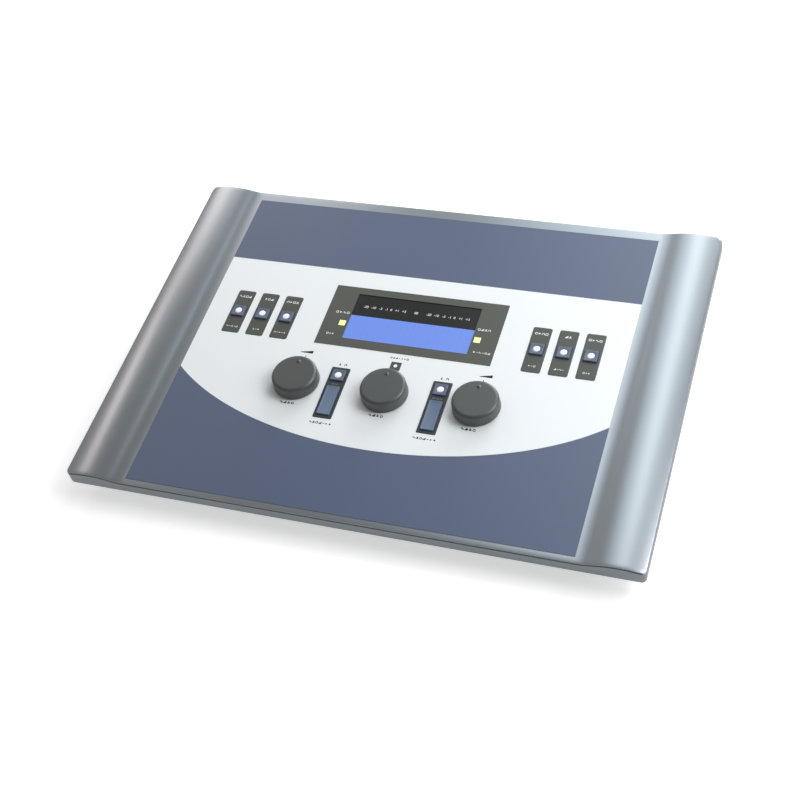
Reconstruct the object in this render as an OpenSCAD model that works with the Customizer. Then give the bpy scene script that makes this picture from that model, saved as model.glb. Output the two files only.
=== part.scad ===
// Desktop audiometer: a slim sloping deck with two raised wings, standing on a
// wedge-shaped lower housing that holds the sockets. Millimetres, +Z up, front
// facing -Y. The origin is on the desk, at the centre of the overall outline.
// Deck modules are written in the deck's own frame: x to the right, y up the
// slope, z = 0 on the flat of the panel. on_deck() sets them on the slope.

/* [Deck] */
// Width of the deck, over both wings
deck_w = 380; // [372:1:400]
// Depth of the deck, measured up its slope
deck_d = 267; // [264:1:290]
// Height of the deck's front face under the flat of the panel
deck_t = 9.6; // [9:0.1:12]
// Radius of the deck's upright corners
deck_corner_r = 3; // [2:0.25:5]
// Slope of the deck, rear edge up
tilt = 8; // [6:0.5:10]
// Height of the deck's lower front edge over the desk
front_lift = 12; // [10:0.5:18]

/* [Wings] */
// Height of a wing's crest over the flat of the panel
crest_h = 3; // [2:0.1:4]
// Distance from the crest to the side of the deck
crest_inset = 16.5; // [14:0.5:20]
// Radius of the rounded crest
crest_r = 66; // [50:1:90]
// Radius of the hollow at the foot of the wing
foot_r = 40; // [20:1:60]

/* [Shells] */
// Thickness of the top panel
panel_t = 1.2; // [1:0.1:1.5]
// Height of the shadow groove under the panel's edge
groove_h = 0.7; // [0.4:0.1:1.2]
// Depth of the shadow groove
groove_depth = 1.2; // [0.8:0.1:1.4]
// Thickness of the tray's side walls
tray_wall = 2.2; // [1.8:0.1:3]
// Thickness of the tray's floor
tray_floor = 2; // [1.5:0.1:2.4]
// Width of the tray's floor that rests on the housing, inside its wall
seat_w = 7; // [5:0.5:10]
// Free play of a piece that drops into a recess
play = 0.1; // [0.05:0.05:0.2]

/* [Films] */
// Thickness of the printed front films
film_t = 0.25; // [0.2:0.05:0.4]
// Bare margin between the films and the foot of each wing
film_side_gap = 0.5; // [0.2:0.1:2]
// Bare margin between the films and the deck's front edge
film_front_gap = 4.2; // [3:0.1:6]
// Bare margin between the films and the deck's rear edge
film_rear_gap = 7.8; // [5:0.1:10]
// Rear edge of the white control field
field_rear = 67.5; // [62:0.5:80]
// Centre of the ellipse that bounds the control field in front
field_oval_y = 24; // [20:0.5:28]
// Half width of that ellipse
field_oval_half_w = 180; // [165:1:220]
// Half depth of that ellipse
field_oval_half_d = 103; // [98:1:108]

/* [Display] */
// Width of the display bezel
bezel_w = 123.8; // [118:0.2:130]
// Depth of the display bezel
bezel_d = 52.7; // [50.5:0.1:56]
// Middle of the bezel on the deck
bezel_y = 26.55; // [25:0.05:28]
// Height of the bezel over the panel
bezel_h = 0.45; // [0.3:0.05:0.8]
// Width of the display window
window_w = 88.4; // [80:0.2:89]
// Depth of the display window
window_d = 39.7; // [38:0.1:42]
// Middle of the window on the deck
window_y = 27.25; // [26.5:0.05:28]
// Line between the meter strip and the liquid-crystal window
window_split = 28.4; // [27:0.1:29.5]
// Thickness of the window panes
pane_t = 0.8; // [0.6:0.1:1]
// Depth of the panes under the bezel's face
pane_sink = 0.5; // [0.3:0.05:0.6]
// Width of the ledge that carries the panes
pane_ledge = 1.2; // [0.8:0.1:1.5]
// Distance of the indicator lights from the middle
lamp_x = 47.9; // [47.4:0.1:50]
// Middle of the indicator lights on the deck
lamp_y = 20; // [16:0.5:24]
// Side of a square indicator light
lamp_side = 4.5; // [4:0.1:5]
// Height of the indicator lights over the bezel
lamp_proud = 0.15; // [0.1:0.05:0.4]

/* [Push buttons] */
// Distance of the inner button plates from the middle
plate_x = 88.8; // [82:0.2:94]
// Spacing of the button plates
plate_pitch = 18; // [16:0.2:19]
// Middle of the button plates on the deck
plate_y = 18.5; // [15:0.5:22]
// Width of a button plate
plate_w = 12.8; // [12:0.1:14]
// Depth of a button plate
plate_d = 38; // [30:0.5:44]
// Corner radius of a button plate
plate_r = 1.3; // [0.8:0.1:2]
// Height of a button plate over the panel
plate_h = 0.45; // [0.3:0.05:0.8]
// Side of a button cap
cap_side = 9; // [8:0.1:9.6]
// Corner radius of a button cap
cap_r = 0.6; // [0.4:0.1:1]
// Height of a cap's face over the panel
cap_h = 1.8; // [1.4:0.1:2.4]
// Gap between a cap and the hole round it
cap_gap = 0.3; // [0.25:0.05:0.4]
// Overhang of the flange that keeps a cap in
flange_over = 0.9; // [0.7:0.1:1.1]
// Thickness of that flange
flange_t = 1; // [0.8:0.1:1.1]
// Radius of the lit lens in a cap
lens_r = 2.4; // [1.8:0.1:2.8]
// Depth of the lens in its cap
lens_t = 1.2; // [0.8:0.1:1.6]
// Height of the lens over its cap
lens_proud = 0.1; // [0.05:0.05:0.3]
// Travel of a push button
cap_travel = 1; // [0.6:0.1:1.1]

/* [Presentation keys] */
// Distance of the keys from the middle
key_x = 35.5; // [34:0.1:37]
// Width of a key frame
key_frame_w = 12.9; // [12:0.1:13.6]
// Depth of a key frame
key_frame_d = 42; // [40.5:0.5:46]
// Middle of a key frame on the deck
key_frame_y = -38.9; // [-40:0.1:-38.5]
// Height of a key frame over the panel
key_frame_h = 0.7; // [0.4:0.1:1]
// Middle of the small talk buttons
talk_y = -24.85; // [-25.2:0.05:-24.5]
// Middle of the long keys
key_y = -45.9; // [-46.5:0.1:-45]
// Width of a long key
key_w = 8.9; // [8:0.1:9.4]
// Length of a long key
key_d = 23.4; // [20:0.2:24]

/* [Knobs] */
// Spacing of the three knobs
knob_pitch = 62.2; // [60:0.2:64]
// Middle of the knobs on the deck
knob_y = -33.9; // [-35:0.1:-32]
// Radius of a knob at its foot
knob_r = 15.8; // [14:0.1:17]
// Inward draft of a knob's side, foot to shoulder
knob_draft = 0.4; // [0.2:0.1:1]
// Height of a knob's face over the panel
knob_h = 9.4; // [9:0.1:12]
// Gap between a knob's foot and the panel
knob_gap = 0.8; // [0.6:0.1:1.2]
// Radius of the knob's rounded shoulder
knob_edge_r = 2.2; // [1:0.1:3]
// Wall of the knob's skirt
knob_wall = 2.2; // [1.5:0.1:3]
// Thickness of the knob's face
knob_face_t = 1.8; // [1.4:0.1:2.4]
// Distance of the raised finger mark from the knob's middle
mark_r = 9.6; // [8:0.1:11]
// Radius of the finger mark at the knob's face
mark_size = 1.4; // [1:0.1:1.6]
// Height of the finger mark over the knob's face
mark_h = 0.55; // [0.3:0.05:0.8]
// Radius of the encoder shaft
shaft_r = 3; // [2.5:0.1:3.2]
// Gap between the shaft and its bushing, on the radius
shaft_gap = 0.04; // [0.02:0.01:0.06]
// Radius of the encoder's threaded bushing
bushing_r = 4.5; // [4:0.1:5]
// Width across the flats of the bushing's nut
nut_flats = 12; // [11:0.5:14]
// Thickness of the bushing's nut
nut_t = 2; // [1.6:0.1:2.2]

/* [Boards] */
// Depth of the main board's top face under the panel's face
board_drop = 8.4; // [8.2:0.1:9]
// Thickness of the circuit boards
board_t = 1.6; // [1.2:0.2:2]
// Gap between the main board's ends and the opening in the tray's floor
board_gap = 12.5; // [4:0.5:14]
// Depth of the main board
board_d = 130; // [128:1:140]
// Side of a push switch under a cap
switch_side = 12; // [11:0.5:12.5]
// Height of a push switch on the board
switch_h = 4; // [3.6:0.1:4.2]

/* [Housing] */
// Distance of the housing's front wall behind the deck's front
housing_front = 24; // [20:1:30]
// Distance of the housing's rear wall from the deck's rear
housing_rear = 16; // [14:1:20]
// Distance of the housing's sides from the deck's sides
housing_side = 28; // [26:1:31]
// Thickness of the housing's walls
housing_wall = 2.5; // [2:0.1:3]
// Corner radius of the housing, seen from above
housing_r = 14; // [12:1:18]
// Thickness of the bottom cover
cover_t = 2; // [1.6:0.1:2.4]
// Height of the rubber feet
foot_h = 3; // [2:0.1:4]
// Radius of the rubber feet
foot_radius = 8; // [6:0.5:10]
// Radius of the screw pillars
pillar_r = 4; // [3.5:0.1:5]
// Radius of a cover screw's shank
screw_r = 1.5; // [1.2:0.1:1.8]
// Radius of a cover screw's head
screw_head_r = 2.9; // [2.5:0.1:3.2]
// Distance of the deck screws from the deck's sides
deck_screw_side = 14; // [10:0.5:18]
// Distance of the outer deck screws from the deck's front and rear
deck_screw_end = 21; // [14:0.5:30]
// Number of air slots in each group in the bottom cover
slot_count = 9; // [5:1:12]

/* [Rear sockets] */
// Height of the sockets' axes over the desk
socket_z = 24; // [21:0.5:27]
// Spacing of the sockets
socket_pitch = 26; // [22:0.5:27]
// Number of sockets
socket_count = 5; // [3:1:5]
// Place of the first socket, at the right seen from the front
socket_x = 128; // [126:1:132]
// Bore of a socket, for a plug of 3.175 mm radius
socket_bore_r = 3.25; // [3.2:0.05:3.4]
// Depth of a socket's bore
socket_bore_l = 29; // [26:0.5:31]
// Radius of a socket's threaded nose
socket_nose_r = 5; // [4.5:0.1:5.5]
// Length of the nose outside the wall
socket_nose_l = 4; // [3.5:0.1:5]
// Thickness of a socket's ring nut
socket_nut_t = 2.4; // [2:0.1:3]
// Radius of a socket's ring nut
socket_nut_r = 7.5; // [7:0.1:8.5]
// Place of the data port
port_x = -22; // [-26:1:-20]
// Place of the low-voltage power inlet
inlet_x = -58; // [-66:1:-52]
// Place of the power switch
power_x = -112; // [-118:1:-100]
// Height of the power switch's middle over the rear board
power_rise = 8.5; // [7:0.5:10]
// Swing of the rocker from off to on
rock_angle = 16; // [10:1:18]
// Thickness of the rear panel that carries the sockets
rear_t = 1.5; // [1.2:0.1:2]
// Width of the rear panel
rear_w = 280; // [280:1:282]
// Height of the rear panel
rear_h = 24; // [23:0.5:26]

/* [Hidden] */
$fn = 96;

// Colours
silver = [0.66, 0.69, 0.72];
silver_dark = [0.50, 0.53, 0.56];
blue_film = [0.36, 0.41, 0.51];
white_film = [0.93, 0.95, 0.96];
charcoal = [0.32, 0.33, 0.32];
near_black = [0.10, 0.10, 0.11];
cap_blue = [0.40, 0.44, 0.54];
knob_grey = [0.34, 0.36, 0.36];
lcd_blue = [0.48, 0.61, 0.95];
lamp_yellow = [0.95, 0.97, 0.62];
board_green = [0.10, 0.36, 0.22];
metal = [0.78, 0.78, 0.76];

// The deck's place on the desk: its outline is centred front to back, and
// its lower front edge is front_lift high.
eps = 0.01;
over = 2;
far = 600;
deck_z = front_lift + deck_d / 2 * sin(tilt) + deck_t * cos(tilt);
deck_y = -(deck_t - crest_h) * sin(tilt) / 2;
deck_half_y = deck_d / 2 * cos(tilt);
function deck_to_y(v, z) = deck_y + v * cos(tilt) - z * sin(tilt);

module on_deck() {
  translate([0, deck_y, deck_z])
    rotate([tilt, 0, 0])
      children();
}

// A wing is two tangent arcs, a hollow foot and a rounded crest, with a level
// tangent at the foot and at the crest.
crest_x = deck_w / 2 - crest_inset;
wing_turn = acos(1 - crest_h / (crest_r + foot_r));
wing_foot_x = crest_x - (crest_r + foot_r) * sin(wing_turn);
side_x = deck_w / 2 + over;
side_turn = asin((side_x - crest_x) / crest_r);
foot_steps = 12;
crest_steps = 28;
wing = concat(
  [for (i = [0:foot_steps]) foot_point(wing_turn * i / foot_steps)],
  [for (i = [1:crest_steps]) crest_point((wing_turn + side_turn) * i / crest_steps - wing_turn)]
);
function foot_point(a) = [wing_foot_x + foot_r * sin(a), foot_r * (1 - cos(a))];
function crest_point(a) = [crest_x + crest_r * sin(a), crest_h - crest_r * (1 - cos(a))];
profile_depth = 20;

// Films
film_w = 2 * (wing_foot_x - film_side_gap);
film_front_y = film_front_gap - deck_d / 2;
film_rear_y = deck_d / 2 - film_rear_gap;

// Buttons, keys and knobs
plate_places = [for (i = [-2:3]) i < 1 ? -plate_x + i * plate_pitch : plate_x + (i - 1) * plate_pitch];
knob_places = [-knob_pitch, 0, knob_pitch];
flange_top = -panel_t - cap_gap;
stem_r = 1.6;
well_r = 2.1;
switch_top = switch_h - board_drop;
stem_low = switch_top - 0.9;
well_low = stem_low - cap_travel - 0.6;
centre_y = -10.35;
centre_w = 7;
centre_d = 6.6;
centre_lamp_r = 1.2;
nut_gap = 0.3;
hub_low = film_t + nut_t + 2 * nut_gap;
hub_r = 6;
bushing_top = film_t + nut_t + nut_gap;
shaft_top = knob_h - knob_face_t;
shaft_low = -board_drop + 1.2;
encoder_w = 13.4;
encoder_top = -panel_t - 0.6;

// Window and lamps
pane_top = bezel_h - pane_sink;
bezel_rim = 2.2;
bezel_lip = 2;
lcd_glass_gap = 0.3;
lcd_pane_y = (window_y - window_d / 2 + window_split) / 2;
lcd_pane_d = window_split - (window_y - window_d / 2);
meter_pane_y = (window_y + window_d / 2 + window_split) / 2;
meter_pane_d = window_y + window_d / 2 - window_split;
lcd_board_w = 108;
lcd_board_d = 29;
lamp_clear = 0.6;
lcd_frame_w = 2 * (lamp_x - lamp_side / 2 - lamp_clear);
lcd_frame_d = 25;
bar_w = 32;
bar_d = 6;

// Housing, in the desk's frame
wall_y_front = -deck_half_y + housing_front;
wall_y_rear = deck_half_y - housing_rear;
housing_w = deck_w - 2 * housing_side;
housing_d = wall_y_rear - wall_y_front;
housing_y = (wall_y_rear + wall_y_front) / 2;
inner_w = housing_w - 2 * housing_wall;
inner_d = housing_d - 2 * housing_wall;
cover_top = foot_h + cover_t;
pillar_x = inner_w / 2 - pillar_r + 1;
pillar_span = inner_d / 2 - housing_r;
pillar_places = [for (sx = [-1, 1], sy = [-1, 0, 1]) [sx * pillar_x, housing_y + sy * pillar_span]];
foot_in_w = 30;
foot_in_d = 20;
foot_x = inner_w / 2 - foot_in_w;
foot_span = inner_d / 2 - foot_in_d;
foot_places = [for (sx = [-1, 1], sy = [-1, 1]) [sx * foot_x, housing_y + sy * foot_span]];
screw_l = 10;
screw_head_t = 1.6;
cross_w = 0.8;
deck_screw_l = 8;
boss_r = 3.5;
deck_screw_x = deck_w / 2 - deck_screw_side;
deck_screw_y = deck_d / 2 - deck_screw_end;
deck_screw_places = [for (sx = [-1, 1], sy = [-1, 0, 1]) [sx * deck_screw_x, sy * deck_screw_y]];
seat_front = (wall_y_front + housing_wall - deck_to_y(0, -deck_t)) / cos(tilt) + seat_w;
seat_rear = (wall_y_rear - housing_wall - deck_to_y(0, -deck_t)) / cos(tilt) - seat_w;
seat_half_w = inner_w / 2 - seat_w;
board_w = 2 * (seat_half_w - board_gap);
post_in_w = 8;
post_in_d = 6;

// Rear parts
socket_body_h = 13;
socket_body_w = 16;
board_top_z = socket_z - socket_body_h / 2;
audio_board_w = 280;
audio_board_d = 72;
audio_board_rear = wall_y_rear - housing_wall - 1;
socket_body_l = socket_bore_l - socket_nose_l - rear_t + 3;
rear_in = wall_y_rear - rear_t;
rear_x = 2;
rear_low = board_top_z - 6;
rear_ledge = 2.5;
rear_window_high = rear_low + rear_h - rear_ledge;
power_z = board_top_z + power_rise;
socket_places = [for (i = [0:socket_count - 1]) socket_x - i * socket_pitch];
stand_in = 6;
stand_x = audio_board_w / 2 - stand_in;
stand_pitch = audio_board_d - 2 * stand_in;
stand_rear = audio_board_rear - stand_in;
stand_places = [for (sx = [-1, 1], sy = [0, 1]) [sx * stand_x, stand_rear - sy * stand_pitch]];
port_w = 12;
port_h = 11;
port_l = 16;
inlet_w = 9.5;
inlet_h = 11;
inlet_l = 14;
inlet_nose_r = 4;
frame_w = 15;
frame_l = 21;
frame_rim = 1.6;
frame_rim_t = 1.8;
frame_deep = 18;
rocker_w = 8.8;
rocker_l = 15.2;
rocker_rise = 2.2;
rocker_side_gap = 0.3;
rocker_end_gap = 0.8;
rocker_hollow = 8;
axle_r = 1.2;
axle_gap = 0.05;
axle_in = 3.2;
axle_l = 10.8;
cable_x = -60;
cable_y = 56;
plug_w = 42;
plug_d = 6;
plug_h = 6;
strip_w = 36;
strip_t = 1;

// ---- Shared shapes ----

// A rectangle with round corners, from squares and circles only
module round_rect(w, d, r) {
  square([w - 2 * r, d], center = true);
  square([w, d - 2 * r], center = true);
  for (sx = [-1, 1], sy = [-1, 1])
    translate([sx * (w / 2 - r), sy * (d / 2 - r)])
      circle(r);
}

// A block with round upright corners between two heights
module round_block(w, d, r, z_low, z_high) {
  translate([0, 0, z_low])
    linear_extrude(z_high - z_low)
      round_rect(w, d, r);
}

// A plain block, centred in x and y, between two heights
module block(w, d, z_low, z_high) {
  translate([-w / 2, -d / 2, z_low])
    cube([w, d, z_high - z_low]);
}

// An upright cylinder between two heights
module post(r, z_low, z_high) {
  translate([0, 0, z_low])
    cylinder(r = r, h = z_high - z_low);
}

// A cylinder along +Y between two places
module post_y(r, y_low, y_high) {
  translate([0, y_low, 0])
    rotate([-90, 0, 0])
      cylinder(r = r, h = y_high - y_low);
}

// Section of the whole deck, its upper edge the panel's upper surface. It
// runs past the deck's sides, where the plan outline cuts it.
module deck_section() {
  polygon(concat(
    [[-side_x, -profile_depth]],
    [for (i = [len(wing) - 1:-1:0]) [-wing[i][0], wing[i][1]]],
    wing,
    [[side_x, -profile_depth]]
  ));
}

// Everything under the deck's upper surface, lowered by a distance
module under_surface(lower) {
  translate([0, deck_d / 2 + over, -lower])
    rotate([90, 0, 0])
      linear_extrude(deck_d + 2 * over)
        deck_section();
}

// The same, kept inside the deck's outline less a margin, down to its bottom
module deck_solid(lower, inset) {
  intersection() {
    under_surface(lower);
    translate([0, 0, -deck_t])
      linear_extrude(deck_t + crest_h + over)
        deck_plan(inset);
  }
}

// The deck's outline from above, less a margin
module deck_plan(inset) {
  round_rect(deck_w - 2 * inset, deck_d - 2 * inset, max(deck_corner_r - inset, 0.5));
}

// ---- Deck shells and films ----

module top_panel() {
  color(silver)
    on_deck()
      difference() {
        deck_solid(0, 0);
        difference() {
          under_surface(panel_t);
          for (p = deck_screw_places)
            translate([p[0], p[1], 0])
              post(boss_r, tray_floor - deck_t, crest_h + over);
        }
        for (p = deck_screw_places)
          translate([p[0], p[1], 0])
            post(screw_r + play / 2, -deck_t, deck_screw_l - deck_t + play);
        panel_cuts();
      }
}

// Openings through the panel for the display, buttons, keys, knobs and lamp
module panel_cuts() {
  low = -panel_t - 1;
  high = 1;
  translate([0, bezel_y, 0])
    block(bezel_w - 2 * bezel_lip, bezel_d - 2 * bezel_lip, low, high);
  for (x = plate_places)
    translate([x, plate_y, 0])
      cap_hole(cap_side, cap_side, low, high);
  for (s = [-1, 1]) {
    translate([s * key_x, talk_y, 0])
      cap_hole(cap_side, cap_side, low, high);
    translate([s * key_x, key_y, 0])
      cap_hole(key_w, key_d, low, high);
  }
  for (x = knob_places)
    translate([x, knob_y, 0])
      post(bushing_r + play, low, high);
  translate([0, centre_y, 0])
    post(centre_lamp_r + play, low, high);
}

// The hole round a cap
module cap_hole(w, d, z_low, z_high) {
  round_block(w + 2 * cap_gap, d + 2 * cap_gap, cap_r + cap_gap, z_low, z_high);
}

module deck_tray() {
  color(silver_dark)
    on_deck()
      difference() {
        deck_solid(panel_t, 0);
        translate([0, 0, tray_floor - deck_t])
          linear_extrude(deck_t + crest_h)
            deck_plan(tray_wall);
        difference() {
          under_surface(0);
          under_surface(panel_t + groove_h);
          translate([0, 0, -profile_depth])
            linear_extrude(profile_depth + crest_h + over)
              deck_plan(groove_depth);
        }
        translate([-seat_half_w, seat_front, -deck_t - 1])
          cube([2 * seat_half_w, seat_rear - seat_front, tray_floor + 2]);
        for (p = deck_screw_places)
          translate([p[0], p[1], 0])
            post(screw_r + play, -deck_t - 1, tray_floor - deck_t + 1);
      }
}

// Screws from under the tray into the panel's bosses
module deck_screws() {
  color(metal)
    on_deck()
      for (p = deck_screw_places)
        translate([p[0], p[1], -deck_t])
          pan_screw(deck_screw_l);
}

// A cross-head screw, its head under z = 0 and its shank above
module pan_screw(l) {
  post(screw_r, -eps, l);
  difference() {
    post(screw_head_r, -screw_head_t, 0);
    block(screw_head_r, cross_w, -screw_head_t - 1, -screw_head_t / 2);
    block(cross_w, screw_head_r, -screw_head_t - 1, -screw_head_t / 2);
  }
}

// The front boundary of the control field: the lower part of an ellipse
arc_steps = 60;
function oval_y(x) = field_oval_y - field_oval_half_d * sqrt(1 - pow(x / field_oval_half_w, 2));
oval = [for (i = [0:arc_steps]) let (x = film_w * (i / arc_steps - 0.5)) [x, oval_y(x)]];

module film_rear() {
  color(blue_film)
    on_deck()
      linear_extrude(film_t)
        translate([-film_w / 2, field_rear])
          square([film_w, film_rear_y - field_rear]);
}

module film_controls() {
  color(white_film)
    on_deck()
      difference() {
        linear_extrude(film_t)
          polygon(concat(oval, [[film_w / 2, field_rear], [-film_w / 2, field_rear]]));
        film_windows();
      }
}

module film_front() {
  color(blue_film)
    on_deck()
      linear_extrude(film_t)
        polygon(concat(oval, [[film_w / 2, film_front_y], [-film_w / 2, film_front_y]]));
}

// Openings in the control field's film for the pieces that lie on the panel
module film_windows() {
  low = -1;
  high = film_t + 1;
  translate([0, bezel_y, 0])
    block(bezel_w + 2 * play, bezel_d + 2 * play, low, high);
  for (x = plate_places)
    translate([x, plate_y, 0])
      round_block(plate_w + 2 * play, plate_d + 2 * play, plate_r + play, low, high);
  for (s = [-1, 1])
    translate([s * key_x, key_frame_y, 0])
      round_block(key_frame_w + 2 * play, key_frame_d + 2 * play, cap_r + play, low, high);
  for (x = knob_places)
    translate([x, knob_y, 0])
      post(bushing_r + play, low, high);
  translate([0, centre_y, 0])
    block(centre_w + 2 * play, centre_d + 2 * play, low, high);
}

// ---- Display ----

module display_bezel() {
  color(charcoal)
    on_deck()
      difference() {
        union() {
          translate([0, bezel_y, 0])
            block(bezel_w, bezel_d, 0, bezel_h);
          translate([0, bezel_y, 0])
            block(bezel_w - 2 * (bezel_lip + play), bezel_d - 2 * (bezel_lip + play), -bezel_rim, eps);
        }
        translate([0, window_y, 0])
          block(window_w, window_d, pane_top - pane_t, bezel_h + 1);
        translate([0, window_y, 0])
          block(window_w - 2 * pane_ledge, window_d - 2 * pane_ledge, -bezel_rim - 1, bezel_h + 1);
        for (s = [-1, 1])
          translate([s * lamp_x, lamp_y, 0])
            block(lamp_side + play, lamp_side + play, -bezel_rim - 1, bezel_h + 1);
      }
}

// A pane of the display window, resting on the bezel's ledge
module pane(y, d) {
  translate([0, y, 0])
    block(window_w - 2 * play, d - play, pane_top - pane_t, pane_top);
}

module meter_window() {
  color(near_black)
    on_deck()
      pane(meter_pane_y, meter_pane_d);
}

module lcd_window() {
  color(lcd_blue)
    on_deck()
      pane(lcd_pane_y, lcd_pane_d);
}

// Liquid-crystal module: metal frame on its own board, on the main board
module lcd_module() {
  lcd_top = pane_top - pane_t - lcd_glass_gap;
  color(metal)
    on_deck()
      translate([0, lcd_pane_y, 0]) {
        block(lcd_board_w, lcd_board_d, -board_drop, -board_drop + board_t);
        block(lcd_frame_w, lcd_frame_d, -board_drop + board_t - eps, -bezel_rim - lcd_glass_gap);
        block(window_w - 2 * pane_ledge - 2, lcd_pane_d - pane_ledge - 2, -bezel_rim - 1, lcd_top);
      }
}

// Two seven-segment level bars under the meter strip
module meter_bars() {
  color("dimgray")
    on_deck()
      for (s = [-1, 1])
        translate([s * window_w / 4, meter_pane_y, 0])
          block(bar_w, bar_d, -board_drop, pane_top - pane_t - lcd_glass_gap);
}

module indicator(side) {
  color(lamp_yellow)
    on_deck()
      translate([side * lamp_x, lamp_y, 0])
        block(lamp_side, lamp_side, -board_drop + board_t, bezel_h + lamp_proud);
}

module lamp_left() { indicator(-1); }
module lamp_right() { indicator(1); }

// ---- Push buttons ----

module button_plates() {
  color(charcoal)
    on_deck()
      for (x = plate_places)
        translate([x, plate_y, 0])
          difference() {
            round_block(plate_w, plate_d, plate_r, 0, plate_h);
            cap_hole(cap_side, cap_side, -1, plate_h + 1);
          }
}

// A cap with its keeping flange and the stem that works the switch
module cap(x, y, w, d) {
  color(cap_blue)
    on_deck()
      translate([x, y, 0]) {
        round_block(w, d, cap_r, flange_top - eps, cap_h);
        round_block(w + 2 * flange_over, d + 2 * flange_over, cap_r, flange_top - flange_t, flange_top);
        post(stem_r, stem_low, flange_top);
      }
}

// A square cap with the pocket for its lens
module lit_cap(x, y) {
  color(cap_blue)
    difference() {
      cap(x, y, cap_side, cap_side);
      on_deck()
        translate([x, y, 0])
          post(lens_r, cap_h - lens_t, cap_h + 1);
    }
}

module lens(x, y) {
  color("white")
    on_deck()
      translate([x, y, 0])
        post(lens_r - play / 2, cap_h - lens_t, cap_h + lens_proud);
}

module button_left_outer() { lit_cap(plate_places[0], plate_y); }
module button_left_middle() { lit_cap(plate_places[1], plate_y); }
module button_left_inner() { lit_cap(plate_places[2], plate_y); }
module button_right_inner() { lit_cap(plate_places[3], plate_y); }
module button_right_middle() { lit_cap(plate_places[4], plate_y); }
module button_right_outer() { lit_cap(plate_places[5], plate_y); }
module lens_left_outer() { lens(plate_places[0], plate_y); }
module lens_left_middle() { lens(plate_places[1], plate_y); }
module lens_left_inner() { lens(plate_places[2], plate_y); }
module lens_right_inner() { lens(plate_places[3], plate_y); }
module lens_right_middle() { lens(plate_places[4], plate_y); }
module lens_right_outer() { lens(plate_places[5], plate_y); }

// ---- Presentation keys ----

module key_frame(side) {
  color(near_black)
    on_deck()
      difference() {
        translate([side * key_x, key_frame_y, 0])
          round_block(key_frame_w, key_frame_d, cap_r, 0, key_frame_h);
        translate([side * key_x, talk_y, 0])
          cap_hole(cap_side, cap_side, -1, key_frame_h + 1);
        translate([side * key_x, key_y, 0])
          cap_hole(key_w, key_d, -1, key_frame_h + 1);
      }
}

module key_frame_left() { key_frame(-1); }
module key_frame_right() { key_frame(1); }
module talk_button_left() { lit_cap(-key_x, talk_y); }
module talk_button_right() { lit_cap(key_x, talk_y); }
module talk_lens_left() { lens(-key_x, talk_y); }
module talk_lens_right() { lens(key_x, talk_y); }
module present_key_left() { cap(-key_x, key_y, key_w, key_d); }
module present_key_right() { cap(key_x, key_y, key_w, key_d); }

// ---- Knobs ----

// Outline of a knob's outside, from the foot round the shoulder to the middle
shoulder_steps = 8;
function shoulder(i) = let (a = 90 * i / shoulder_steps)
  [knob_r - knob_draft - knob_edge_r * (1 - cos(a)), knob_h - knob_edge_r * (1 - sin(a))];
knob_outline = concat(
  [[0, knob_gap], [knob_r, knob_gap]],
  [for (i = [0:shoulder_steps]) shoulder(i)],
  [[0, knob_h]]
);

module knob(x) {
  mark_ball_r = (pow(mark_size, 2) + pow(mark_h, 2)) / (2 * mark_h);
  color(knob_grey)
    on_deck()
      translate([x, knob_y, 0])
        difference() {
          union() {
            rotate_extrude()
              polygon(knob_outline);
            translate([0, mark_r, knob_h + mark_h - mark_ball_r])
              sphere(mark_ball_r);
          }
          difference() {
            post(knob_r - knob_wall, knob_gap - 1, knob_h - knob_face_t);
            post(hub_r, hub_low, knob_h);
          }
          post(shaft_r, 0, shaft_top);
        }
}

module shaft(x) {
  color(metal)
    on_deck()
      translate([x, knob_y, 0])
        post(shaft_r, shaft_low, shaft_top);
}

module knob_left() { knob(knob_places[0]); }
module knob_centre() { knob(knob_places[1]); }
module knob_right() { knob(knob_places[2]); }
module knob_shaft_left() { shaft(knob_places[0]); }
module knob_shaft_centre() { shaft(knob_places[1]); }
module knob_shaft_right() { shaft(knob_places[2]); }

// The turning encoders: a body on the main board and a bushing through the panel
module encoders() {
  color(metal)
    on_deck()
      for (x = knob_places)
        translate([x, knob_y, 0])
          difference() {
            union() {
              block(encoder_w, encoder_w, -board_drop, encoder_top);
              post(bushing_r, encoder_top - eps, bushing_top);
            }
            post(shaft_r + shaft_gap, shaft_low - 0.4, bushing_top + 1);
          }
}

// Hexagonal nuts that clamp the bushings to the panel
module encoder_nuts() {
  color(metal)
    on_deck()
      for (x = knob_places)
        translate([x, knob_y, film_t])
          difference() {
            cylinder(r = nut_flats / 2 / cos(30), h = nut_t, $fn = 6);
            post(bushing_r + play / 2, -1, nut_t + 1);
          }
}

// Small plate over the middle knob, with its lamp
module centre_plate() {
  color(charcoal)
    on_deck()
      translate([0, centre_y, 0])
        difference() {
          block(centre_w, centre_d, 0, plate_h);
          post(centre_lamp_r + play, -1, plate_h + 1);
        }
}

module centre_lamp() {
  color("white")
    on_deck()
      translate([0, centre_y, 0])
        post(centre_lamp_r, -board_drop, plate_h + lamp_proud);
}

// ---- Boards ----

module main_board() {
  color(board_green)
    on_deck()
      difference() {
        block(board_w, board_d, -board_drop - board_t, -board_drop);
        for (p = board_post_places)
          translate([p[0], p[1], 0])
            post(screw_r + play, -board_drop - board_t - 1, -board_drop + 1);
      }
}

board_post_places = [for (x = [-1, 0, 1], s = [-1, 1])
  [x * (board_w / 2 - post_in_w), s * (board_d / 2 - post_in_d)]];

// Spacers between panel and board, with the screw that holds each
module board_posts() {
  color(metal)
    on_deck()
      for (p = board_post_places)
        translate([p[0], p[1], 0]) {
          post(screw_head_r, -board_drop, -panel_t);
          post(screw_r, -board_drop - board_t - eps, -board_drop + eps);
          post(screw_head_r, -board_drop - board_t - screw_head_t, -board_drop - board_t);
        }
}

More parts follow.
